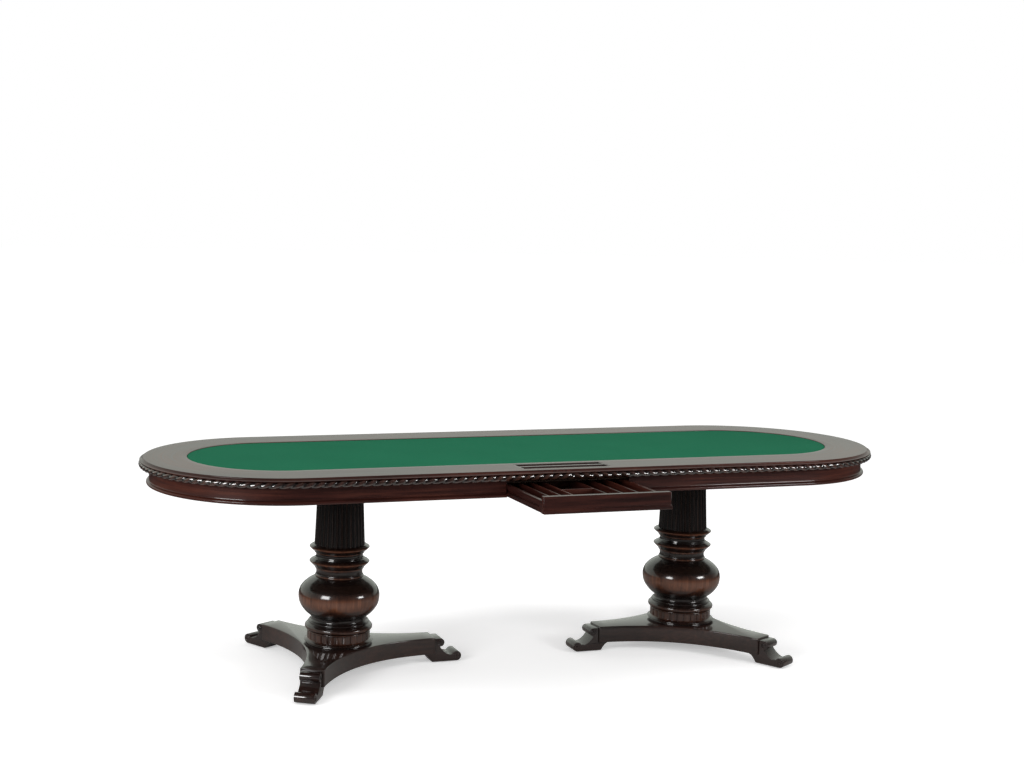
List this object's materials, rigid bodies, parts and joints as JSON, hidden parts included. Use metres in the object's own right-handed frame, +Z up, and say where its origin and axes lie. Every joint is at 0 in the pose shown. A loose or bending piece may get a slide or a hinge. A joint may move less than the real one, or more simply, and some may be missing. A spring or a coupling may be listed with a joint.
{
  "type": "gaming table",
  "caption": "Stadium-shaped card table with a felt playing surface, wooden rail with chip troughs, rope-moulded edge, compartment drawer and turned tripod pedestals.",
  "frame": {"origin": "on the floor, at the centre of the footprint with the drawer pulled out; the table's own long centre line lies 139.5 mm towards +Y from it", "axes": "+X along the table to the right as seen from the drawer side, +Y away from the drawer side, +Z up"},
  "size_m": [2.74, 1.2202, 0.756],
  "materials": {
    "dark_wood": "gloss lacquer, very dark espresso stain",
    "rail_wood": "gloss lacquer, dark mahogany stain",
    "hidden_wood": "plain, unstained",
    "green_felt": "short-napped wool cloth",
    "steel": "zinc plated",
    "glide_pad": "matt"
  },
  "bodies": {
    "table": {"top_panel": "hidden_wood", "playfield_board": "hidden_wood", "playing_felt": "green_felt", "rail_front": "rail_wood", "rail_back": "rail_wood", "rail_left_end": "rail_wood", "rail_right_end": "rail_wood", "rope_moulding_front": "dark_wood", "rope_moulding_back": "dark_wood", "rope_moulding_left_end": "dark_wood", "rope_moulding_right_end": "dark_wood", "chip_tray": "dark_wood", "apron_front_left": "dark_wood", "apron_front_right": "dark_wood", "apron_back": "dark_wood", "apron_left_end": "dark_wood", "apron_right_end": "dark_wood", "drawer_runner_left": "hidden_wood", "drawer_runner_right": "hidden_wood", "drawer_top_rail": "hidden_wood", "drawer_stop": "hidden_wood", "mounting_plate_left": "hidden_wood", "fluted_shaft_left": "dark_wood", "turned_column_left": "dark_wood", "reeded_base_left": "dark_wood", "tripod_base_left": "dark_wood", "tie_rod_left": "steel", "tie_rod_nut_left": "steel", "scroll_foot_left_1": "dark_wood", "scroll_foot_left_2": "dark_wood", "scroll_foot_left_3": "dark_wood", "glide_left_1": "glide_pad", "glide_left_2": "glide_pad", "glide_left_3": "glide_pad", "mounting_plate_right": "hidden_wood", "fluted_shaft_right": "dark_wood", "turned_column_right": "dark_wood", "reeded_base_right": "dark_wood", "tripod_base_right": "dark_wood", "tie_rod_right": "steel", "tie_rod_nut_right": "steel", "scroll_foot_right_1": "dark_wood", "scroll_foot_right_2": "dark_wood", "scroll_foot_right_3": "dark_wood", "glide_right_1": "glide_pad", "glide_right_2": "glide_pad", "glide_right_3": "glide_pad"},
    "drawer": {"drawer_front": "dark_wood", "drawer_side_left": "dark_wood", "drawer_side_right": "dark_wood", "drawer_back": "dark_wood", "drawer_bottom": "hidden_wood", "drawer_cross_divider": "dark_wood", "drawer_divider_left_1": "dark_wood", "drawer_divider_left_2": "dark_wood", "drawer_divider_left_3": "dark_wood", "drawer_divider_right_1": "dark_wood", "drawer_divider_right_2": "dark_wood", "drawer_divider_right_3": "dark_wood"}
  },
  "joints": [
    {"name": "drawer_slide", "type": "slide", "parent": "table", "child": "drawer", "axis": [0, -1, 0], "range_m": [-0.305, 0.026]}
  ]
}
